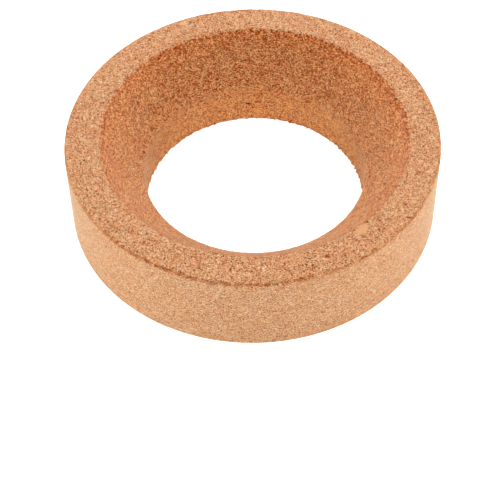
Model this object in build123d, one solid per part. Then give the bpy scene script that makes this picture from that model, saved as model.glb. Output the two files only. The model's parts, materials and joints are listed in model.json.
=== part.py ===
from build123d import *

import os

# Bench ring of pressed cork that holds a round-bottomed flask upright.
#
# The ring is one block of pressed cork granules, turned all round: a flat foot, a straight
# outer wall, a flat rim, a conical seat that centres the flask, and a straight bore that
# lets the lowest part of the flask hang clear of the bench. Every corner is eased, because
# pressed cork crumbles at a sharp one.
#
# Millimetres. +Z is up along the ring's axis, and the origin is at the centre of the foot.

# Overall size of the turned block.
outer_diameter = 160.0
ring_height = 40.0

# Flat rim left standing round the mouth of the seat.
rim_width = 14.0

# Conical seat, from its mouth in the rim down to the bore.
seat_depth = 20.0

# Straight bore, from the bottom of the seat to the foot.
bore_diameter = 96.0

# Radii of the eased corners, from the outer wall inwards and down to the foot.
rim_edge_radius = 1.5
mouth_edge_radius = 0.8
throat_edge_radius = 1.2
bore_foot_radius = 0.6
outer_foot_radius = 1.0


def ring_section() -> Sketch:
    """Half of the section through the axis: X is the radius and Y the height."""
    outer = outer_diameter / 2
    mouth = outer - rim_width
    bore = bore_diameter / 2
    throat_height = ring_height - seat_depth

    # Each corner is a place in the section and the radius that eases it.
    corners = [
        ((bore, 0), bore_foot_radius),
        ((outer, 0), outer_foot_radius),
        ((outer, ring_height), rim_edge_radius),
        ((mouth, ring_height), mouth_edge_radius),
        ((bore, throat_height), throat_edge_radius),
    ]
    section = make_face(Polyline([place for place, _ in corners], close=True))
    for place, radius in corners:
        corner = section.vertices().sort_by_distance(place)[0]
        section = fillet(corner, radius)
    return section


def cork_ring() -> Part:
    """The section stood upright and turned once round the axis."""
    ring = revolve(Plane.XZ * ring_section(), Axis.Z)
    ring.label = "cork_ring"
    return ring


def main() -> None:
    """Write the ring as parts/cork_ring.step."""
    os.makedirs("parts", exist_ok=True)
    ring = cork_ring()
    export_step(ring, f"parts/{ring.label}.step")


main()
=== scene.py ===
"""Looks of a bench ring of pressed cork that holds a round-bottomed flask upright.

The ring is one block of pressed cork granules. Its outer wall is ground smooth, its rim is
sliced, its conical seat and its straight bore are cut on one axis that stands a little off
the wall's, and its corners have crumbled.

Metres. +Z is up, and the origin is at the centre of the ring's foot. The camera looks
along +Y and down, so the front of the ring is its -Y side.
"""

import json
import logging
import math
from collections.abc import Callable, Mapping, Sequence
from dataclasses import dataclass, field
from enum import Enum
from typing import Any, Union

import bmesh
import bpy
from mathutils import Matrix, Vector


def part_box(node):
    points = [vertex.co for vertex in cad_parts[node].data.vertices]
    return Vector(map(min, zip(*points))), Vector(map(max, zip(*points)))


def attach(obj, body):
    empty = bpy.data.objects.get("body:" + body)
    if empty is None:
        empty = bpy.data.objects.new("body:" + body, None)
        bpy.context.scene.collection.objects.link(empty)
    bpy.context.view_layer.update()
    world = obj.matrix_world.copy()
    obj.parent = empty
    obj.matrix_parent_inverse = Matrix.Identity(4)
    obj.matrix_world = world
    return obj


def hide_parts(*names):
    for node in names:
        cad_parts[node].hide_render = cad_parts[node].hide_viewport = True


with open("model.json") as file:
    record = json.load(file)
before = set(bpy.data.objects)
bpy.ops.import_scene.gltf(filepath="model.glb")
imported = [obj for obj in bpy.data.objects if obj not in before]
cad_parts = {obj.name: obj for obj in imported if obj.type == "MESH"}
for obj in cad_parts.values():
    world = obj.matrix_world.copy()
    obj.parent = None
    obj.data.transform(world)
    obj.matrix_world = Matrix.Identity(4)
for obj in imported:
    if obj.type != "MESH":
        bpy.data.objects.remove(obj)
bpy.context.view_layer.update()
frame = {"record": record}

MM = 0.001
# How close two places are that count as one.
NEAR = 0.01 * MM

Colour = tuple[float, float, float]
Place = tuple[float, float, float]
# Where a mask starts to count, and where it counts in full.
Span = tuple[float, float]

log = logging.getLogger("cork_ring")


class Value:
    """One output of a node graph. Python's arithmetic on it adds Math nodes."""

    def __init__(self, graph: "Graph", socket: bpy.types.NodeSocket) -> None:
        """Keep the socket and the graph that it is in."""
        self.graph = graph
        self.socket = socket

    def __add__(self, other: "Number") -> "Value":
        """Sum."""
        return self.graph.math("ADD", self, other)

    __radd__ = __add__

    def __sub__(self, other: "Number") -> "Value":
        """Difference."""
        return self.graph.math("SUBTRACT", self, other)

    def __rsub__(self, other: "Number") -> "Value":
        """Difference from a number."""
        return self.graph.math("SUBTRACT", other, self)

    def __mul__(self, other: "Number") -> "Value":
        """Product."""
        return self.graph.math("MULTIPLY", self, other)

    __rmul__ = __mul__

    def __neg__(self) -> "Value":
        """Opposite."""
        return self.graph.math("MULTIPLY", self, -1.0)

    def most(self, other: "Number") -> "Value":
        """The larger of the two."""
        return self.graph.math("MAXIMUM", self, other)

    def least(self, other: "Number") -> "Value":
        """The smaller of the two."""
        return self.graph.math("MINIMUM", self, other)

    def step(self, span: Span) -> "Value":
        """Rise smoothly from 0 at the start of a span to 1 at its end.

        Args:
            span: where the value starts to count and where it counts in full, which may be
                the smaller of the two.

        Returns:
            A value from 0 to 1.
        """
        start, end = span
        if start > end:
            return 1.0 - self.step((end, start))
        settings = {"interpolation_type": "SMOOTHSTEP"}
        inputs = {"Value": self, "From Min": start, "From Max": end}
        return self.graph.value("ShaderNodeMapRange", "Result", settings, inputs)

    def blend(self, other: "Number", mask: "Value") -> "Value":
        """This value where the mask is 0, and the other where it is 1."""
        return self + mask * (other - self)


Number = Union[Value, float]


class Graph:
    """A node tree that is written down as expressions."""

    # Noise stays near its middle, and this spreads it over about -1 to 1.
    noise_middle = 0.5
    noise_spread = 4.0
    noise_roughness = 0.55

    def __init__(self, tree: bpy.types.NodeTree) -> None:
        """Start on an empty tree."""
        self.tree = tree

    @classmethod
    def fresh(cls, owner: Union[bpy.types.Material, bpy.types.World]) -> "Graph":
        """Empty the node tree of a material or a world.

        Args:
            owner: the material or the world.

        Returns:
            The graph of its empty tree.
        """
        owner.use_nodes = True
        owner.node_tree.nodes.clear()
        return cls(owner.node_tree)

    def node(
        self, kind: str, settings: Mapping[str, Any], inputs: Mapping[str, Any]
    ) -> bpy.types.Node:
        """Add one node.

        Args:
            kind: the node's type.
            settings: its own settings, which are set first. The name stops stands for the
                stops of a colour ramp, as pairs of a place and a colour.
            inputs: values or links, by the identifier of the socket.

        Returns:
            The node.
        """
        made = self.tree.nodes.new(kind)
        for name, setting in settings.items():
            if name == "stops":
                self.set_stops(made.color_ramp, setting)
            else:
                setattr(made, name, setting)
        sockets = {socket.identifier: socket for socket in made.inputs}
        for name, given in inputs.items():
            if isinstance(given, Value):
                self.tree.links.new(given.socket, sockets[name])
            else:
                sockets[name].default_value = given
        return made

    @staticmethod
    def set_stops(ramp: bpy.types.ColorRamp, stops: Sequence[tuple[float, Colour]]) -> None:
        """Give a colour ramp its stops.

        Args:
            ramp: the ramp.
            stops: pairs of a place and a colour, in order.
        """
        while len(ramp.elements) < len(stops):
            ramp.elements.new(1.0)
        for element, (place, colour) in zip(ramp.elements, stops):
            element.position = place
            element.color = (*colour, 1.0)

    def value(
        self, kind: str, output: str, settings: Mapping[str, Any], inputs: Mapping[str, Any]
    ) -> Value:
        """Add one node and give one of its outputs.

        Args:
            kind: the node's type.
            output: the identifier of the output.
            settings: as for node.
            inputs: as for node.

        Returns:
            The output.
        """
        made = self.node(kind, settings, inputs)
        socket = next(socket for socket in made.outputs if socket.identifier == output)
        return Value(self, socket)

    def math(self, operation: str, left: Number, right: Number) -> Value:
        """One Math node with two inputs."""
        inputs = {"Value": left, "Value_001": right}
        return self.value("ShaderNodeMath", "Value", {"operation": operation}, inputs)

    def vector_math(self, operation: str, left: Any, right: Any) -> Value:
        """One Vector Math node with two vector inputs and a vector output."""
        inputs = {"Vector": left, "Vector_001": right}
        return self.value("ShaderNodeVectorMath", "Vector", {"operation": operation}, inputs)

    def scaled(self, vector: Value, factor: Number) -> Value:
        """A vector times a number."""
        inputs = {"Vector": vector, "Scale": factor}
        return self.value("ShaderNodeVectorMath", "Vector", {"operation": "SCALE"}, inputs)

    def length(self, vector: Value) -> Value:
        """The length of a vector."""
        settings = {"operation": "LENGTH"}
        return self.value("ShaderNodeVectorMath", "Value", settings, {"Vector": vector})

    def parts(self, vector: Value) -> tuple[Value, Value, Value]:
        """Take a vector or a colour apart.

        Args:
            vector: the vector or the colour.

        Returns:
            Its three parts.
        """
        made = self.node("ShaderNodeSeparateXYZ", {}, {"Vector": vector})
        first, second, third = (Value(self, socket) for socket in made.outputs)
        return first, second, third

    def vector(self, x: Number, y: Number, z: Number) -> Value:
        """A vector of three numbers."""
        return self.value("ShaderNodeCombineXYZ", "Vector", {}, {"X": x, "Y": y, "Z": z})

    def tinted(self, colour: Value, tint: Value) -> Value:
        """Multiply a colour by another.

        Args:
            colour: the colour to change.
            tint: the colour that changes it.

        Returns:
            The changed colour.
        """
        settings = {"data_type": "RGBA", "blend_type": "MULTIPLY"}
        inputs = {"Factor_Float": 1.0, "A_Color": colour, "B_Color": tint}
        return self.value("ShaderNodeMix", "Result_Color", settings, inputs)

    def raw_noise(self, place: Value, spacing: float, detail: float, output: str) -> Value:
        """Cloudy noise, as a node gives it, with clouds about one spacing across.

        Args:
            place: the point that is looked up.
            spacing: the size of the clouds.
            detail: how much finer detail the clouds have.
            output: Fac for a number, or Color for three.

        Returns:
            The noise.
        """
        inputs = {"Vector": place, "Scale": 1.0 / spacing, "Detail": detail}
        inputs["Roughness"] = self.noise_roughness
        return self.value("ShaderNodeTexNoise", output, {}, inputs)

    def noise(self, place: Value, spacing: float, detail: float = 2.0) -> Value:
        """Cloudy noise with clouds about one spacing across, mostly between -1 and 1."""
        raw = self.raw_noise(place, spacing, detail, "Fac")
        return (raw - self.noise_middle) * self.noise_spread

    def swirled(self, place: Value, spacing: float, reach: float) -> Value:
        """Move points about, alike within one spacing.

        Args:
            place: the points.
            spacing: how far apart points are that move differently.
            reach: how far most of them move at most.

        Returns:
            The moved points.
        """
        drift = self.raw_noise(place, spacing, 2.0, "Color")
        centred = self.vector_math("SUBTRACT", drift, (self.noise_middle,) * 3)
        move = self.scaled(centred, reach * self.noise_spread)
        return self.vector_math("ADD", place, move)

    def cells(self, place: Value, spacing: float) -> tuple[Value, Value]:
        """Divide space into cells one spacing apart.

        Args:
            place: the point that is looked up.
            spacing: how far apart the cells are.

        Returns:
            The distance from the middle of the point's cell, in spacings, and three random
            numbers that are the same all over the cell.
        """
        inputs = {"Vector": place, "Scale": 1.0 / spacing}
        made = self.node("ShaderNodeTexVoronoi", {"feature": "F1"}, inputs)
        outputs = {socket.identifier: Value(self, socket) for socket in made.outputs}
        return outputs["Distance"], outputs["Color"]


class Surface(Enum):
    """The surfaces of the ring, by how each one was cut."""

    WALL = "outer wall, ground smooth"
    RIM = "flat rim, sliced"
    SEAT = "conical seat, turned rough"
    BORE = "straight bore, sawn"
    EDGE = "corner between rim and wall, crumbled"
    FOOT = "flat foot, sliced"


@dataclass(frozen=True)
class Finish:
    """How the cork of one surface looks and feels.

    Attributes:
        tone: mean lightness, as a place on the palette of cork.
        granules: how far granules differ in tone.
        dust: how far the fine grain differs in tone.
        grit: how far the coarse grain differs in tone.
        bark: how dark the specks of bark are, from 0 to 1.
        flakes: how pale the large flakes are, from 0 to 1.
        pit_shade: how much darker the pits are painted, as painted shade in them, from 0 to 1.
        tint: what the palette's colours are multiplied by.
        roughness: roughness of the surface.
        relief: height of the granules.
        pits: depth of the pits that lost granules leave.
    """

    tone: float
    granules: float
    dust: float
    grit: float
    bark: float
    flakes: float
    pit_shade: float
    tint: Colour
    roughness: float
    relief: float
    pits: float


FINISHES: dict[Surface, Finish] = {
    Surface.WALL: Finish(
        tone=0.482, granules=0.03, dust=0.62, grit=0.02, bark=0.7, flakes=0.3, pit_shade=0.04,
        tint=(1.0, 1.15, 1.56), roughness=0.62, relief=0.03 * MM, pits=0.05 * MM,
    ),
    Surface.RIM: Finish(
        tone=0.570, granules=0.04, dust=0.65, grit=0.02, bark=0.9, flakes=0.6, pit_shade=0.06,
        tint=(1.0, 0.95, 1.09), roughness=0.72, relief=0.04 * MM, pits=0.10 * MM,
    ),
    Surface.SEAT: Finish(
        tone=0.630, granules=0.24, dust=1.15, grit=0.64, bark=1.0, flakes=1.0, pit_shade=0.50,
        tint=(1.0, 0.655, 0.46), roughness=0.85, relief=0.10 * MM, pits=0.16 * MM,
    ),
    Surface.BORE: Finish(
        tone=0.800, granules=0.40, dust=1.90, grit=1.75, bark=1.0, flakes=0.9, pit_shade=0.60,
        tint=(1.0, 0.63, 0.36), roughness=0.80, relief=0.08 * MM, pits=0.14 * MM,
    ),
    Surface.EDGE: Finish(
        tone=0.430, granules=0.20, dust=0.60, grit=0.15, bark=0.9, flakes=0.6, pit_shade=0.30,
        tint=(1.0, 0.84, 0.84), roughness=0.80, relief=0.12 * MM, pits=0.22 * MM,
    ),
    Surface.FOOT: Finish(
        tone=0.560, granules=0.06, dust=0.80, grit=0.08, bark=0.8, flakes=0.8, pit_shade=0.08,
        tint=(1.0, 0.98, 1.08), roughness=0.75, relief=0.06 * MM, pits=0.12 * MM,
    ),
}

# Colours of cork from its darkest bark to its palest flakes. Each one's place is about how
# much red it reflects.
PALETTE: tuple[tuple[float, Colour], ...] = (
    (0.05, (0.050, 0.008, 0.002)),
    (0.15, (0.150, 0.025, 0.005)),
    (0.30, (0.300, 0.068, 0.014)),
    (0.45, (0.450, 0.150, 0.041)),
    (0.55, (0.550, 0.230, 0.073)),
    (0.65, (0.650, 0.304, 0.109)),
    (0.75, (0.750, 0.382, 0.155)),
    (0.85, (0.850, 0.500, 0.240)),
    (0.95, (0.930, 0.620, 0.340)),
    (1.00, (0.980, 0.690, 0.410)),
)


@dataclass
class RingShape:
    """Sizes of the ring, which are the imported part's apart from the shift and the bore's foot."""

    outer_radius: float
    height: float
    bore_radius: float
    rim_width: float = 14.0 * MM
    seat_depth: float = 20.0 * MM
    # How far the seat and the bore stand off the wall's axis.
    shift: Place = (0.8 * MM, 0.4 * MM, 0.0)
    # Radii of the eased corners. The bore's foot is sharper than the part's, because tears
    # round it off.
    rim_edge: float = 1.5 * MM
    mouth_edge: float = 0.8 * MM
    throat_edge: float = 1.2 * MM
    bore_foot: float = 0.2 * MM
    outer_foot: float = 1.0 * MM

    @classmethod
    def of_frame(cls) -> "RingShape":
        """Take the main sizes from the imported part.

        Returns:
            The ring's sizes.
        """
        _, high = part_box("cork_ring")
        bore = next(mount for mount in frame["record"]["mounts"] if mount["name"] == "bore")
        return cls(outer_radius=high.x, height=high.z, bore_radius=bore["dims"]["r_mm"] * MM)

    @property
    def mouth_radius(self) -> float:
        """Radius of the seat's mouth in the rim."""
        return self.outer_radius - self.rim_width

    @property
    def throat_height(self) -> float:
        """Height at which the seat meets the bore."""
        return self.height - self.seat_depth

    @property
    def seat_tilt(self) -> float:
        """Angle between the seat's slope and the flat rim."""
        return math.atan2(self.seat_depth, self.mouth_radius - self.bore_radius)


class Zones:
    """Masks that say which surface of the ring a point is on.

    Attributes:
        masks: how far the point is on each surface, from 0 to 1. A later mask lies over an
            earlier one, and the wall shows where none counts.
        notch_shadows: where granules are torn out of the seat just below its mouth, from 0 to 1.
            The material darkens them there as painted shadow.
        upper_seat_shade: how far the point is in the upper part of the seat, from 0 to 1, where the
            material paints shade that evens out the light.
        past_mouth: how far the point is out from the mouth.
        past_bore: how far the point is out from the bore's wall.
        below_rim: how far the point is below the rim.
        above_foot: how far the point is above the foot.
    """

    # Borders are ragged: the size of their teeth, and how far these reach at the mouth and the
    # throat, and along the crumbled edge.
    ragged_spacing = 1.4 * MM
    ragged_reach = 1.2 * MM
    ragged_edge_reach = 0.48 * MM

    rim_past_mouth: Span = (-0.40 * MM, -0.15 * MM)
    rim_below_top: Span = (1.2 * MM, 0.7 * MM)
    seat_past_mouth: Span = (3.0 * MM, 2.0 * MM)
    bore_past_wall: Span = (6.0 * MM, 5.0 * MM)
    bore_above_throat: Span = (4.0 * MM, -5.0 * MM)
    foot_above_bottom: Span = (0.5 * MM, 0.2 * MM)

    # The crumbled line runs just inside the wall and just below the rim, and comes and goes.
    edge_inset = 0.3 * MM
    edge_drop = 0.6 * MM
    edge_reach: Span = (1.2 * MM, 0.5 * MM)
    edge_spacing = 3.0 * MM
    edge_breaks: Span = (-0.8, 0.5)
    edge_least = 0.10
    edge_swing = 0.75

    # Torn spots just below the mouth, which the material darkens as painted shadow.
    notch_below_rim: Span = (3.2 * MM, 0.8 * MM)
    notch_spacing = 1.3 * MM
    notch_breaks: Span = (-0.1, 0.5)
    # Painted shade over the upper seat, to even out the light that falls more brightly near the
    # mouth: in full 1 mm below the rim, and none 11 mm down.
    upper_seat_below_rim: Span = (11.0 * MM, 1.0 * MM)

    def __init__(self, graph: Graph, place: Value, shape: RingShape) -> None:
        """Work out the masks.

        Args:
            graph: the graph that the masks go into.
            place: the point, in the ring's own coordinates.
            shape: the ring's sizes.
        """
        teeth = graph.noise(place, self.ragged_spacing, detail=4.0)
        ragged = teeth * self.ragged_reach
        x, y, z = graph.parts(place)
        cut_x, cut_y, _ = graph.parts(graph.vector_math("SUBTRACT", place, shape.shift))
        cut_radius = graph.length(graph.vector(cut_x, cut_y, 0.0))
        inside_wall = shape.outer_radius - graph.length(graph.vector(x, y, 0.0))
        self.past_mouth = cut_radius - shape.mouth_radius
        self.past_bore = cut_radius - shape.bore_radius
        self.below_rim = shape.height - z
        self.above_foot = z

        by_mouth = (self.past_mouth + ragged).step(self.rim_past_mouth)
        top = by_mouth * self.below_rim.step(self.rim_below_top)
        seat = self.past_mouth.step(self.seat_past_mouth) * (1.0 - top)
        above_throat = z - shape.throat_height + ragged
        bore = self.past_bore.step(self.bore_past_wall) * above_throat.step(self.bore_above_throat)
        off_edge = graph.vector(inside_wall - self.edge_inset, self.below_rim - self.edge_drop, 0.0)
        to_edge = graph.length(off_edge) + teeth * self.ragged_edge_reach
        broken = graph.noise(place, self.edge_spacing).step(self.edge_breaks)
        edge = to_edge.step(self.edge_reach) * (broken * self.edge_swing + self.edge_least)
        self.masks: dict[Surface, Value] = {
            Surface.RIM: top,
            Surface.SEAT: seat,
            Surface.BORE: bore,
            Surface.EDGE: edge,
            Surface.FOOT: z.step(self.foot_above_bottom),
        }
        torn = graph.noise(place, self.notch_spacing).step(self.notch_breaks)
        self.notch_shadows = self.below_rim.step(self.notch_below_rim) * seat * torn
        self.upper_seat_shade = self.below_rim.step(self.upper_seat_below_rim) * seat

    def mixed(self, read: Callable[[Finish], float]) -> Value:
        """One number of the finishes, mixed by the masks.

        Args:
            read: takes the number from a finish.

        Returns:
            The number at the point.
        """
        number: Number = read(FINISHES[Surface.WALL])
        for surface, mask in self.masks.items():
            number = number + mask * (read(FINISHES[surface]) - number)
        return number


@dataclass(frozen=True)
class Spots:
    """How spots are scattered through the block, at most one to a cell.

    Attributes:
        spacing: how far apart the cells are.
        chosen: the random numbers over which a cell comes to hold a spot.
        edge: the distances over which a spot fades in, in spacings.
        growth: how much larger the largest spot is, in spacings.
    """

    spacing: float
    chosen: Span
    edge: Span
    growth: float = 0.2

    def cover(self, graph: Graph, place: Value) -> Value:
        """Where the spots are.

        Args:
            graph: the graph that the spots go into.
            place: the point that is looked up.

        Returns:
            How far a spot covers the point, from 0 to 1.
        """
        away, randoms = graph.cells(place, self.spacing)
        pick, size, _ = graph.parts(randoms)
        return pick.step(self.chosen) * (away - size * self.growth).step(self.edge)


class Granules:
    """The pattern of granules in the pressed block, which fills space.

    Attributes:
        tone: what each granule adds to the tone, from -1 to 1.
        hue: how yellow and grey each granule is, from -1 to 1.
        powder: the finest grain, from -1.5 to 0.5.
        dust: the fine grain within granules, from -1.5 to 0.5.
        grit: the coarse grain within granules, from -1 to 1.
        clouds: slow changes over the block, mostly from -1 to 1.
        bark: where specks of bark are, from 0 to 1.
        flakes: where pale flakes are, from 0 to 1.
        pits: where granules are lost, from 0 to 1.
        height: how far each granule stands up, mostly from 0 to 1.5.
    """

    # Pressing the block along its axis has flattened the granules.
    flattening: Place = (1.0, 1.0, 1.7)

    large_spacing = 2.1 * MM
    small_spacing = 0.95 * MM
    grit_spacing = 0.44 * MM
    dust_spacing = 0.36 * MM
    powder_spacing = 0.22 * MM
    cloud_spacing = 9.0 * MM
    # Some large granules are whole, and the others are made of small ones.
    whole_chosen: Span = (0.66, 0.68)

    # Granules are bent, and their grain is torn: how far apart and how far they are moved.
    bend_spacing = 0.90 * MM
    bend_reach = 0.22 * MM
    tear_spacing = 0.45 * MM
    tear_reach = 0.20 * MM

    bark_spots = Spots(spacing=1.2 * MM, chosen=(0.84, 0.86), edge=(0.22, 0.12))
    flake_spots = Spots(spacing=2.0 * MM, chosen=(0.62, 0.72), edge=(0.34, 0.16))
    pit_spacing = 0.65 * MM
    pit_breaks: Span = (0.1, 0.7)

    # How far the spread of fine grain leans to the dark.
    dark_lean = 0.6
    # What a granule's round back and its fine grain add to its height.
    round_back = 0.4
    fine_height = 0.5

    def __init__(self, graph: Graph, place: Value) -> None:
        """Work out the pattern at a point.

        Args:
            graph: the graph that the pattern goes into.
            place: the point, in the ring's own coordinates.
        """
        place = graph.vector_math("MULTIPLY", place, self.flattening)
        bent = graph.swirled(place, self.bend_spacing, self.bend_reach)
        torn = graph.swirled(place, self.tear_spacing, self.tear_reach)
        _, large = graph.cells(bent, self.large_spacing)
        off_middle, small = graph.cells(bent, self.small_spacing)
        _, crumb = graph.cells(torn, self.grit_spacing)
        _, grain = graph.cells(torn, self.dust_spacing)
        _, powder = graph.cells(place, self.powder_spacing)
        large_tone, large_hue, large_pick = graph.parts(large)
        small_tone, small_height, small_hue = graph.parts(small)
        crumb_tone, _, _ = graph.parts(crumb)
        grain_tone, grain_height, _ = graph.parts(grain)
        powder_tone, _, _ = graph.parts(powder)

        self.tone = self.alike(small_tone.blend(large_tone, large_pick.step(self.whole_chosen)))
        self.hue = small_hue + large_hue - 1.0
        self.grit = self.alike(crumb_tone)
        self.dust = self.mostly_alike(grain_tone)
        self.powder = self.mostly_alike(powder_tone)
        self.clouds = graph.noise(place, self.cloud_spacing)
        self.height = small_height - off_middle * self.round_back + grain_height * self.fine_height
        self.bark = self.bark_spots.cover(graph, torn)
        self.flakes = self.flake_spots.cover(graph, bent)
        self.pits = graph.noise(place, self.pit_spacing, detail=3.0).step(self.pit_breaks)

    @staticmethod
    def alike(random: Value) -> Value:
        """Spread grain so that most of it is alike, and a little is pale or dark.

        Args:
            random: a number from 0 to 1 for each grain.

        Returns:
            What the grain adds to the tone, from -1 to 1.
        """
        centred = random * 2.0 - 1.0
        return centred * centred * centred

    @classmethod
    def mostly_alike(cls, random: Value) -> Value:
        """Spread grain so that most of it is alike, a little is pale and a little more is dark.

        Args:
            random: a number from 0 to 1 for each grain.

        Returns:
            What the grain adds to the tone, from -1.5 to 0.5, and nothing in the mean.
        """
        centred = random * 2.0 - 1.0
        squared = centred * centred
        return squared * squared * (centred - cls.dark_lean) + cls.dark_lean / 5.0


@dataclass(frozen=True)
class Mark:
    """One mark that stands out on the ring.

    Attributes:
        place: its middle, on the surface, in millimetres.
        sizes: its radii along the three axes, in millimetres.
        tone: its lightness, as a place on the palette.
        strength: how far it covers the granules.
        grey: how far its colour is greyed.
    """

    place: Place
    sizes: Place
    tone: float
    strength: float = 0.9
    grey: float = 0.0


MARKS: tuple[Mark, ...] = (
    # A large pale flake in the front right of the rim, in two lobes, with dark granules round it.
    Mark((44.3, -51.8, 40.0), (2.0, 2.5, 2.0), 0.72, 0.95),
    Mark((42.0, -53.9, 40.0), (1.9, 2.1, 2.0), 0.72, 0.95),
    Mark((45.6, -48.8, 40.0), (0.5, 0.9, 0.5), 0.22),
    Mark((40.0, -52.6, 40.0), (0.7, 0.9, 0.7), 0.40, 0.6),
    Mark((46.8, -55.7, 40.0), (0.9, 1.0, 0.9), 0.48, 0.6),
    Mark((57.3, -39.8, 40.0), (1.0, 1.3, 1.0), 0.74),
    # Flakes and grey dots on the back of the rim.
    Mark((-30.2, 70.1, 40.0), (2.0, 1.3, 1.3), 0.78),
    Mark((-27.1, 71.1, 40.0), (0.75, 0.75, 0.75), 0.16, 0.95, 0.5),
    Mark((-24.9, 68.8, 40.0), (0.55, 0.6, 0.55), 0.34, 0.8, 0.2),
    Mark((59.3, 38.4, 40.0), (1.0, 1.0, 1.0), 0.78),
    Mark((59.0, 40.3, 40.0), (0.8, 0.8, 0.8), 0.30, 0.9, 0.5),
    Mark((-45.2, 59.8, 40.0), (0.7, 0.9, 0.7), 0.30, 0.8),
    # A torn spot in the front of the rim.
    Mark((28.6, -66.3, 40.0), (1.1, 0.9, 0.9), 0.26, 0.8),
    Mark((30.0, -65.2, 40.0), (0.5, 0.6, 0.5), 0.74, 0.8),
    # Smears along the crumbled corner.
    Mark((-17.5, -78.1, 38.4), (2.6, 1.2, 1.0), 0.34, 0.7, 0.2),
    Mark((-49.9, -62.5, 39.8), (1.6, 1.2, 1.0), 0.38, 0.6, 0.2),
    Mark((-60.5, -39.5, 40.0), (1.2, 1.0, 1.0), 0.42, 0.5, 0.2),
    # Spots on the wall, in the seat and in the bore.
    Mark((28.1, -74.9, 20.9), (1.3, 1.0, 0.7), 0.34, 0.9, 0.6),
    Mark((-52.1, -60.7, 11.4), (0.7, 0.7, 0.7), 0.22),
    Mark((5.0, 64.7, 38.2), (1.0, 1.0, 1.0), 0.82),
    Mark((-47.4, 8.8, 21.0), (0.8, 0.8, 0.8), 0.20, 0.8),
    Mark((-1.6, 48.3, 9.9), (1.4, 1.0, 0.8), 0.08, 0.95, 0.2),
)


def metres(lengths: Place) -> Place:
    """Three lengths in metres, from millimetres."""
    x, y, z = lengths
    return x * MM, y * MM, z * MM


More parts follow.
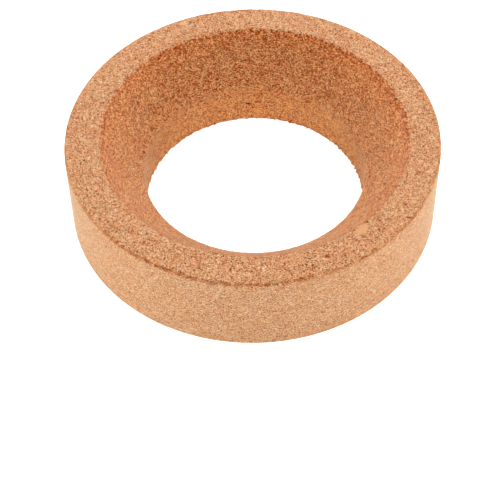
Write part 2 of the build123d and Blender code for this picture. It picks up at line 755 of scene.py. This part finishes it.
@dataclass
class CorkDress:
    """The one material of the ring, whose finish changes from surface to surface."""

    shape: RingShape
    marks: Sequence[Mark] = MARKS
    mark_edge: Span = (1.0, 0.7)
    mark_ragged_spacing: float = 0.9 * MM
    mark_ragged_reach: float = 0.25
    # What the grain, the clouds and the flakes add to the tone on every surface.
    powder: float = 0.60
    clouds: float = 0.012
    flakes: float = 0.11
    # What share of their tone the torn spots below the mouth and the upper seat lose, both as
    # painted shade: painted shadow in each torn notch, and painted shade over the upper seat, which
    # evens out the light that falls more brightly there than deeper in the seat.
    notch_shadows: float = 0.45
    upper_seat_shade: float = 0.10
    # What share of its tone bark keeps, and grain at its darkest keeps of the mean.
    bark: float = 0.40
    darkest: float = 0.3
    # How far from the mean a tone still changes in hue. Then how far green and blue change
    # with each granule's own hue, and with that swing of its tone.
    swing: Span = (-0.5, 0.3)
    green: tuple[float, float] = (0.17, 0.9)
    blue: tuple[float, float] = (0.26, 1.5)
    # Torn cells stand up from the surface, and catch the light at a slant as a nap does.
    specular: float = 0.05
    sheen: float = 0.86
    sheen_roughness: float = 0.17
    sheen_tint: Colour = (0.95, 0.86, 0.65)

    def material(self) -> bpy.types.Material:
        """Build the material.

        Returns:
            The material of pressed cork.
        """
        made = bpy.data.materials.new("pressed_cork")
        graph = Graph.fresh(made)
        place = graph.value("ShaderNodeTexCoord", "Object", {}, {})
        zones = Zones(graph, place, self.shape)
        grain = Granules(graph, place)
        mean = zones.mixed(lambda finish: finish.tone)
        tone, grey = self.with_marks(graph, place, self.tone(zones, grain, mean))
        bump = {"Height": self.height(zones, grain), "Distance": 1.0, "Strength": 1.0}
        inputs = {
            "Base Color": self.colour(graph, zones, grain, tone, mean, grey),
            "Roughness": zones.mixed(lambda finish: finish.roughness),
            "Normal": graph.value("ShaderNodeBump", "Normal", {}, bump),
            "Specular IOR Level": self.specular,
            "Sheen Weight": self.sheen,
            "Sheen Roughness": self.sheen_roughness,
            "Sheen Tint": (*self.sheen_tint, 1.0),
        }
        shader = graph.value("ShaderNodeBsdfPrincipled", "BSDF", {}, inputs)
        graph.node("ShaderNodeOutputMaterial", {}, {"Surface": shader})
        return made

    def tone(self, zones: Zones, grain: Granules, mean: Value) -> Value:
        """The tone of the cork, without its marks.

        Args:
            zones: which surface the point is on.
            grain: the pattern of granules there.
            mean: the mean tone there.

        Returns:
            The tone, as a place on the palette.
        """
        tone = mean + grain.tone * zones.mixed(lambda finish: finish.granules)
        tone = tone + grain.powder * self.powder
        tone = tone + grain.dust * zones.mixed(lambda finish: finish.dust)
        tone = tone + grain.grit * zones.mixed(lambda finish: finish.grit)
        tone = tone + grain.clouds * self.clouds
        # Painted shade: the pits are darkened, as if shade fell in them.
        tone = tone * (1.0 - grain.pits * zones.mixed(lambda finish: finish.pit_shade))
        # Painted shadow in each torn notch just below the mouth.
        tone = tone * (1.0 - zones.notch_shadows * self.notch_shadows)
        # Painted shade over the upper seat, which evens out the light that falls more brightly near
        # the mouth than deeper in the seat.
        tone = tone * (1.0 - zones.upper_seat_shade * self.upper_seat_shade)
        tone = tone.most(mean * self.darkest)
        flakes = grain.flakes * zones.mixed(lambda finish: finish.flakes)
        tone = tone + flakes * self.flakes
        bark = grain.bark * zones.mixed(lambda finish: finish.bark)
        return tone.blend(tone * self.bark, bark)

    def with_marks(self, graph: Graph, place: Value, tone: Value) -> tuple[Value, Value]:
        """Lay the marks over the granules.

        Args:
            graph: the material's graph.
            place: the point, in the ring's own coordinates.
            tone: the tone of the granules.

        Returns:
            The tone with the marks, and how far the colour is greyed.
        """
        ragged = graph.noise(place, self.mark_ragged_spacing) * self.mark_ragged_reach
        grey: Number = 0.0
        for mark in self.marks:
            off = graph.vector_math("SUBTRACT", place, metres(mark.place))
            away = graph.length(graph.vector_math("DIVIDE", off, metres(mark.sizes))) + ragged
            cover = away.step(self.mark_edge) * mark.strength
            tone = tone.blend(mark.tone, cover)
            if mark.grey:
                grey = cover * mark.grey + grey
        return tone, grey

    def colour(
        self, graph: Graph, zones: Zones, grain: Granules, tone: Value, mean: Value, grey: Value
    ) -> Value:
        """The colour of the cork.

        Args:
            graph: the material's graph.
            zones: which surface the point is on.
            grain: the pattern of granules there.
            tone: the tone there, with the marks.
            mean: the mean tone there.
            grey: how far the colour is greyed.

        Returns:
            The colour.
        """
        colour = graph.value("ShaderNodeValToRGB", "Color", {"stops": PALETTE}, {"Fac": tone})
        # Dark grain is redder than the palette's, and pale grain is paler.
        lowest, highest = self.swing
        swing = (tone - mean).most(lowest).least(highest) * mean
        by_hue, by_swing = self.green
        green = grain.hue * by_hue + swing * by_swing + 1.0
        by_hue, by_swing = self.blue
        blue = grain.hue * by_hue + swing * by_swing + 1.0
        colour = graph.tinted(colour, graph.vector(1.0, green, blue))
        red, green, blue = (
            zones.mixed(lambda finish, channel=channel: finish.tint[channel])
            for channel in range(3)
        )
        colour = graph.tinted(colour, graph.vector(red, green, blue))
        inputs = {"Color": colour, "Saturation": 1.0 - grey}
        return graph.value("ShaderNodeHueSaturation", "Color", {}, inputs)

    @staticmethod
    def height(zones: Zones, grain: Granules) -> Value:
        """Height of the fine relief, for a Bump node.

        Args:
            zones: which surface the point is on.
            grain: the pattern of granules there.

        Returns:
            The height.
        """
        relief = zones.mixed(lambda finish: finish.relief)
        pits = grain.pits * zones.mixed(lambda finish: finish.pits)
        return grain.height * relief - pits


@dataclass
class CorkRing:
    """The ring: one turned block, with its relief and its crumbled corners."""

    shape: RingShape
    # Steps round the axis, and the spacing of points along each run of the section.
    steps: int = 680
    wall_spacing: float = 1.12 * MM
    rim_spacing: float = 0.62 * MM
    seat_spacing: float = 0.63 * MM
    bore_spacing: float = 0.78 * MM
    foot_spacing: float = 3.9 * MM
    # Waves of sunk granules all over: their size, and their mean and swing in times the
    # height of the granules.
    wave_spacing: float = 1.5 * MM
    wave_mean: float = 1.0
    wave_swing: float = 1.2
    # Tears at the mouth and at the bore's foot: their size, how deep they go, how near the
    # corner they lie, and how the noise is turned into them.
    tear_spacing: float = 1.4 * MM
    mouth_crumble: float = 0.6 * MM
    mouth_reach: Span = (1.8 * MM, 0.3 * MM)
    mouth_gain: float = 1.5
    mouth_least: float = 0.4
    foot_crumble: float = 0.8 * MM
    foot_reach: Span = (2.2 * MM, 0.5 * MM)
    foot_least: float = 0.3
    obj: bpy.types.Object = field(init=False)

    def build(self) -> bpy.types.Object:
        """Make, shape and dress the ring.

        Returns:
            The finished piece.
        """
        self.outline()
        self.ease_corners()
        self.divide_runs()
        self.turn()
        self.roughen()
        self.obj.data.materials.append(CorkDress(self.shape).material())
        return self.obj

    def outline(self) -> None:
        """Draw half of the section through the axis as one face, stood upright on +X."""
        shape = self.shape
        thickness = shape.outer_radius - shape.bore_radius
        middle = (shape.bore_radius + thickness / 2, 0.0, shape.height / 2)
        origin = (0.0, 0.0, 0.0)
        upright = (math.pi / 2, 0.0, 0.0)
        bpy.ops.object.select_all(action="DESELECT")
        bpy.ops.mesh.primitive_plane_add(size=1.0, location=origin, rotation=upright)
        self.obj = bpy.context.active_object
        self.obj.name = self.obj.data.name = "pressed_cork_ring"
        bpy.ops.object.transform_apply(location=True, rotation=True, scale=True)
        bpy.ops.object.mode_set(mode="EDIT")
        bpy.ops.mesh.select_all(action="SELECT")
        bpy.ops.transform.resize(value=(thickness, 1.0, shape.height), center_override=origin)
        bpy.ops.transform.translate(value=middle)
        # The seat takes off the corner between the rim and the bore.
        bpy.ops.mesh.select_all(action="SELECT")
        bpy.ops.mesh.bisect(
            plane_co=(shape.mouth_radius, 0.0, shape.height),
            plane_no=(-math.sin(shape.seat_tilt), 0.0, math.cos(shape.seat_tilt)),
            clear_outer=True,
        )

    def select_vertices(self, wanted: Callable[[Vector], bool]) -> None:
        """Select some vertices, and nothing else.

        Args:
            wanted: says of a vertex's place whether it is wanted.
        """
        bpy.ops.mesh.select_all(action="DESELECT")
        bpy.ops.mesh.select_mode(type="VERT")
        mesh = bmesh.from_edit_mesh(self.obj.data)
        for vertex in mesh.verts:
            vertex.select = wanted(vertex.co)
        mesh.select_flush_mode()
        bmesh.update_edit_mesh(self.obj.data)

    def select_edges(self, wanted: Callable[[Vector, Vector], bool]) -> None:
        """Select some edges, and nothing else.

        Args:
            wanted: says of the places of an edge's two ends whether it is wanted.
        """
        bpy.ops.mesh.select_all(action="DESELECT")
        bpy.ops.mesh.select_mode(type="EDGE")
        mesh = bmesh.from_edit_mesh(self.obj.data)
        for edge in mesh.edges:
            edge.select = wanted(edge.verts[0].co, edge.verts[1].co)
        mesh.select_flush_mode()
        bmesh.update_edit_mesh(self.obj.data)

    def ease_corners(self) -> None:
        """Round each corner of the section."""
        shape = self.shape
        square = math.pi / 2
        mouth_turn = shape.seat_tilt
        throat_turn = square - shape.seat_tilt
        # A corner's radius and height, the radius that eases it, its turn, and its segments.
        corners = (
            (shape.bore_radius, 0.0, shape.bore_foot, square, 3),
            (shape.outer_radius, 0.0, shape.outer_foot, square, 3),
            (shape.outer_radius, shape.height, shape.rim_edge, square, 5),
            (shape.mouth_radius, shape.height, shape.mouth_edge, mouth_turn, 3),
            (shape.bore_radius, shape.throat_height, shape.throat_edge, throat_turn, 3),
        )
        for radius, height, easing, turn, segments in corners:
            corner = Vector((radius, 0.0, height))
            self.select_vertices(lambda place: (place - corner).length < NEAR)
            bpy.ops.mesh.bevel(
                offset=easing * math.tan(turn / 2),
                segments=segments,
                affect="VERTICES",
                profile=0.5,
            )

    def divide_runs(self) -> None:
        """Divide the straight runs of the section, and leave its outline alone."""
        shape = self.shape
        slant = 5.0 * MM

        def along_wall(a: Vector, b: Vector) -> bool:
            """Say whether an edge is on the outer wall."""
            return min(a.x, b.x) > shape.outer_radius - NEAR

        def along_rim(a: Vector, b: Vector) -> bool:
            """Say whether an edge is on the rim."""
            return min(a.z, b.z) > shape.height - NEAR

        def along_bore(a: Vector, b: Vector) -> bool:
            """Say whether an edge is on the bore's wall."""
            return max(a.x, b.x) < shape.bore_radius + NEAR

        def along_foot(a: Vector, b: Vector) -> bool:
            """Say whether an edge is on the foot."""
            return max(a.z, b.z) < NEAR

        def along_seat(a: Vector, b: Vector) -> bool:
            """Say whether an edge is the seat's, the only long one that slants."""
            return abs(a.x - b.x) > slant and abs(a.z - b.z) > slant

        runs = (
            (along_wall, self.wall_spacing),
            (along_rim, self.rim_spacing),
            (along_bore, self.bore_spacing),
            (along_foot, self.foot_spacing),
            (along_seat, self.seat_spacing),
        )
        for along, spacing in runs:
            self.select_edges(along)
            mesh = bmesh.from_edit_mesh(self.obj.data)
            length = sum(edge.calc_length() for edge in mesh.edges if edge.select)
            bpy.ops.mesh.subdivide(number_cuts=round(length / spacing) - 1)
        bpy.ops.mesh.select_all(action="SELECT")
        bpy.ops.mesh.delete(type="ONLY_FACE")

    def turn(self) -> None:
        """Turn the section once round the axis."""
        bpy.ops.object.mode_set(mode="OBJECT")
        bpy.ops.object.modifier_add(type="SCREW")
        screw = self.obj.modifiers[-1]
        screw.angle = math.tau
        screw.steps = self.steps
        screw.render_steps = self.steps
        screw.use_merge_vertices = True
        screw.merge_threshold = NEAR
        bpy.ops.object.modifier_apply(modifier=screw.name)
        bpy.ops.object.mode_set(mode="EDIT")
        bpy.ops.mesh.select_all(action="SELECT")
        bpy.ops.mesh.normals_make_consistent(inside=False)
        bpy.ops.object.mode_set(mode="OBJECT")
        bpy.ops.object.shade_smooth()

    def roughen(self) -> None:
        """Shift the seat and the bore, and raise the relief, by one modifier that is applied."""
        tree = bpy.data.node_groups.new("relief", "GeometryNodeTree")
        kind = "NodeSocketGeometry"
        for way in ("INPUT", "OUTPUT"):
            tree.interface.new_socket(name="Geometry", in_out=way, socket_type=kind)
        graph = Graph(tree)
        source = graph.node("NodeGroupInput", {}, {})
        shifted = graph.node("GeometryNodeSetPosition", {}, {"Offset": self.axis_shift(graph)})
        rough = graph.node("GeometryNodeSetPosition", {}, {"Offset": self.relief(graph)})
        result = graph.node("NodeGroupOutput", {}, {})
        for giver, taker in ((source, shifted), (shifted, rough), (rough, result)):
            tree.links.new(giver.outputs["Geometry"], taker.inputs["Geometry"])

        bpy.ops.object.modifier_add(type="NODES")
        modifier = self.obj.modifiers[-1]
        modifier.node_group = tree
        bpy.ops.object.modifier_apply(modifier=modifier.name)

    def axis_shift(self, graph: Graph) -> Value:
        """How far each point moves so that the seat and the bore stand off the wall's axis.

        Args:
            graph: the modifier's graph.

        Returns:
            The way that the point moves.
        """
        shape = self.shape
        shift_x, shift_y, _ = shape.shift
        place = graph.value("GeometryNodeInputPosition", "Position", {}, {})
        x, y, _ = graph.parts(place)
        radius = graph.length(graph.vector(x, y, 0.0))
        share = radius.step((shape.outer_radius - shape.rim_edge, shape.mouth_radius))
        return graph.vector(share * shift_x, share * shift_y, 0.0)

    def relief(self, graph: Graph) -> Value:
        """How far each point moves off the turned surface, mostly down into it.

        Args:
            graph: the modifier's graph.

        Returns:
            The way that the point moves.
        """
        place = graph.value("GeometryNodeInputPosition", "Position", {}, {})
        normal = graph.value("GeometryNodeInputNormal", "Normal", {}, {})
        zones = Zones(graph, place, self.shape)
        relief = zones.mixed(lambda finish: finish.relief)
        waves = graph.noise(place, self.wave_spacing) * self.wave_swing + self.wave_mean
        depth = (waves * relief).most(0.0)

        tears = graph.noise(place, self.tear_spacing, detail=3.0)
        to_mouth = graph.length(graph.vector(zones.past_mouth, zones.below_rim, 0.0))
        torn = (tears * self.mouth_gain - self.mouth_least).most(0.0)
        depth = depth + torn * to_mouth.step(self.mouth_reach) * self.mouth_crumble
        sunk = graph.scaled(normal, -depth)

        # At the bore's foot some granules are torn out, and others stand out into the bore.
        to_foot = graph.length(graph.vector(zones.past_bore, zones.above_foot, 0.0))
        torn = (tears - self.foot_least) * to_foot.step(self.foot_reach) * self.foot_crumble
        sideways = graph.vector_math("MULTIPLY", normal, (1.0, 1.0, 0.0))
        return graph.vector_math("ADD", sunk, graph.scaled(sideways, -torn))


@dataclass(frozen=True)
class SoftBox:
    """One soft lamp, aimed at the middle of the ring's foot.

    Attributes:
        name: its name.
        place: where it hangs.
        width: how wide it is.
        height: how high it is.
        power: its power in watts.
    """

    name: str
    place: Place
    width: float
    height: float
    power: float

    def hang(self) -> None:
        """Hang the lamp."""
        data = bpy.data.lights.new(self.name, "AREA")
        data.shape = "RECTANGLE"
        data.size = self.width
        data.size_y = self.height
        data.energy = self.power
        lamp = bpy.data.objects.new(self.name, data)
        bpy.context.scene.collection.objects.link(lamp)
        lamp.location = self.place
        lamp.rotation_euler = (-Vector(self.place)).to_track_quat("-Z", "Y").to_euler()


# The two at the sides are low, to light the wall. The one behind is the strongest, and lights
# the front of the seat.
SOFT_BOXES: tuple[SoftBox, ...] = (
    SoftBox("left_box", (-0.9, -0.25, 0.07), 0.7, 0.12, 5.0),
    SoftBox("right_box", (0.9, -0.25, 0.07), 0.7, 0.12, 5.0),
    SoftBox("front_box", (0.0, -0.9, 0.6), 0.9, 0.9, 1.5),
    SoftBox("top_box", (0.0, 0.0, 1.2), 0.9, 0.9, 3.2),
    SoftBox("back_box", (0.1, 0.9, 0.7), 0.9, 0.9, 9.4),
)


@dataclass
class Studio:
    """Pale floor, soft light all round, and the camera."""

    floor_size: float = 6.0
    floor_grey: float = 0.8
    # How brightly the floor glows, and how much more of it the camera sees, so that it is white.
    floor_glow: float = 0.55
    floor_seen: float = 0.5
    world_strength: float = 0.52
    # How far the camera stands from the point that it looks at, and how steeply it looks down.
    distance: float = 648.19 * MM
    elevation: float = math.radians(51.074)
    roll: float = math.radians(-0.996)
    # The point that it looks at, as steps to the right and up in the picture from the rim's
    # centre.
    aim_right: float = -1.878 * MM
    aim_up: float = -48.591 * MM
    # The lens and the sensor are in millimetres, as a camera takes them.
    lens: float = 109.99
    sensor_width: float = 36.0
    clip_end: float = 20.0

    def build(self, shape: RingShape) -> None:
        """Set the floor, the light and the camera round the ring.

        Args:
            shape: the ring's sizes.
        """
        self.floor()
        self.sky()
        for box in SOFT_BOXES:
            box.hang()
        self.camera(shape)

    def floor(self) -> None:
        """Lay the floor, which glows softly under the ring and which the camera sees as white."""
        bpy.ops.object.select_all(action="DESELECT")
        bpy.ops.mesh.primitive_plane_add(size=self.floor_size)
        floor = bpy.context.active_object
        floor.name = floor.data.name = "floor"
        made = bpy.data.materials.new("white_paper")
        graph = Graph.fresh(made)
        seen = graph.value("ShaderNodeLightPath", "Is Camera Ray", {}, {})
        grey = (self.floor_grey, self.floor_grey, self.floor_grey, 1.0)
        paper = graph.value("ShaderNodeBsdfDiffuse", "BSDF", {}, {"Color": grey})
        strength = seen * self.floor_seen + self.floor_glow
        light = {"Color": (1.0, 1.0, 1.0, 1.0), "Strength": strength}
        glow = graph.value("ShaderNodeEmission", "Emission", {}, light)
        layers = {"Shader": paper, "Shader_001": glow}
        both = graph.value("ShaderNodeAddShader", "Shader", {}, layers)
        graph.node("ShaderNodeOutputMaterial", {}, {"Surface": both})
        floor.data.materials.append(made)

    def sky(self) -> None:
        """Light the scene evenly from a pale surround, which the camera sees as white."""
        world = bpy.data.worlds.new("surround")
        bpy.context.scene.world = world
        graph = Graph.fresh(world)
        seen = graph.value("ShaderNodeLightPath", "Is Camera Ray", {}, {})
        strength = self.world_strength + seen * (1.0 - self.world_strength)
        light = {"Color": (1.0, 1.0, 1.0, 1.0), "Strength": strength}
        glow = graph.value("ShaderNodeBackground", "Background", {}, light)
        graph.node("ShaderNodeOutputWorld", {}, {"Surface": glow})

    def camera(self, shape: RingShape) -> None:
        """Set the camera at the photograph's place, distance and lens.

        Args:
            shape: the ring's sizes.
        """
        ahead = Vector((0.0, math.cos(self.elevation), -math.sin(self.elevation)))
        right = Vector((1.0, 0.0, 0.0))
        up = right.cross(ahead)
        rim_centre = Vector((0.0, 0.0, shape.height))
        aim = rim_centre + right * self.aim_right + up * self.aim_up
        data = bpy.data.cameras.new("camera")
        data.lens = self.lens
        data.sensor_width = self.sensor_width
        data.clip_end = self.clip_end
        camera = bpy.data.objects.new("camera", data)
        bpy.context.scene.collection.objects.link(camera)
        place = Matrix.Translation(aim - ahead * self.distance)
        tilt = Matrix.Rotation(math.pi / 2 - self.elevation, 4, "X")
        roll = Matrix.Rotation(self.roll, 4, "Z")
        camera.matrix_world = place @ tilt @ roll
        bpy.context.scene.camera = camera
        bpy.context.scene.view_settings.view_transform = "Standard"


def main() -> None:
    """Build the ring and its surroundings, and report each piece."""
    logging.basicConfig(level=logging.INFO, format="%(name)s: %(message)s")
    shape = RingShape.of_frame()
    ring = CorkRing(shape).build()
    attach(ring, "root")
    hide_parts("cork_ring")
    mesh = ring.data
    log.info("%s: %d vertices, %d faces", ring.name, len(mesh.vertices), len(mesh.polygons))
    Studio().build(shape)


if __name__ == "__main__":
    main()
